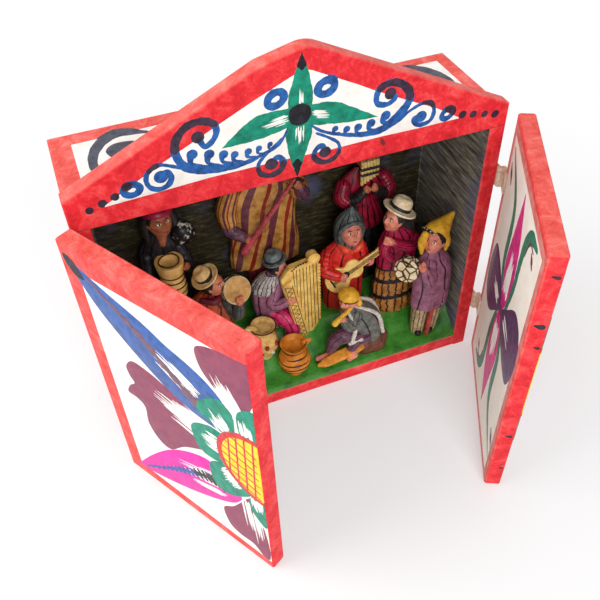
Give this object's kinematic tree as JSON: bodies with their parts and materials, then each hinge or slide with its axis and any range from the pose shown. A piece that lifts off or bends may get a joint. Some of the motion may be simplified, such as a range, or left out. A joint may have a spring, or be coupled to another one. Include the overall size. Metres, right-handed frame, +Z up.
{
  "type": "retablo box",
  "caption": "Painted folk shrine box with a gabled front, two doors hung on leather straps and a band of small paste musicians standing on a green ground inside",
  "frame": {"origin": "middle of the case's footprint, on the table plane", "axes": "+X to the viewer's right, +Y to the back of the case, +Z up; metres in the packed row"},
  "size_m": [0.2156, 0.155, 0.2082],
  "materials": {
    "red_painted_wood": "satin paint, worn at the edges",
    "dark_painted_wood": "matte brushed paint",
    "leather": "worn strip, partly painted over",
    "nail_steel": "dull wire nail",
    "ground_green": "painted paste, slightly glossy",
    "paste_dark_dress": "painted paste, matte",
    "paste_orange_tunic": "painted paste, matte",
    "paste_purple_coat": "painted paste, matte",
    "paste_ochre_poncho": "painted paste, matte",
    "paste_magenta_coat": "painted paste, matte",
    "paste_red_robe": "painted paste, matte",
    "paste_grey_poncho": "painted paste, matte",
    "paste_tan_wood": "painted paste, matte",
    "paste_clay_brown": "painted paste, matte",
    "paste_cream": "painted paste, matte",
    "paste_pink": "painted paste, matte",
    "paste_stone_brown": "painted paste, matte"
  },
  "bodies": {
    "box": {"left_side_board": "red_painted_wood", "right_side_board": "red_painted_wood", "floor_board": "red_painted_wood", "back_board": "dark_painted_wood", "roof_board": "red_painted_wood", "gable_board": "red_painted_wood", "roof_nails": "nail_steel", "floor_nails": "nail_steel", "back_nails": "nail_steel", "strap_tacks": "nail_steel", "left_upper_strap": "leather", "left_lower_strap": "leather", "right_upper_strap": "leather", "right_lower_strap": "leather", "ground": "ground_green", "jar_woman": "paste_dark_dress", "drummer": "paste_orange_tunic", "harpist": "paste_purple_coat", "violinist": "paste_ochre_poncho", "panpiper": "paste_magenta_coat", "guitarist": "paste_red_robe", "singer": "paste_magenta_coat", "capped_man": "paste_purple_coat", "flute_player": "paste_grey_poncho", "ringed_jar": "paste_cream", "hand_drum": "paste_tan_wood", "harp": "paste_tan_wood", "violin": "paste_clay_brown", "violin_bow": "paste_pink", "panpipes": "paste_tan_wood", "guitar": "paste_tan_wood", "small_drum": "paste_cream", "flute": "paste_clay_brown", "boulder": "paste_stone_brown", "pitcher": "paste_clay_brown", "painted_jug": "paste_cream"},
    "left_door": {"left_door": "red_painted_wood"},
    "right_door": {"right_door": "red_painted_wood"}
  },
  "joints": [
    {"name": "left_door_hinge", "type": "hinge", "parent": "box", "child": "left_door", "pos_m": [-0.10236, -0.03448, 0.07925], "axis": [0, 0, -1], "range_deg": [-58.84, 121.16], "deforming": ["left_upper_strap", "left_lower_strap"]},
    {"name": "right_door_hinge", "type": "hinge", "parent": "box", "child": "right_door", "pos_m": [0.10227, -0.03005, 0.07925], "axis": [0, 0, 1], "range_deg": [-63.49, 116.51], "deforming": ["right_upper_strap", "right_lower_strap"]}
  ]
}
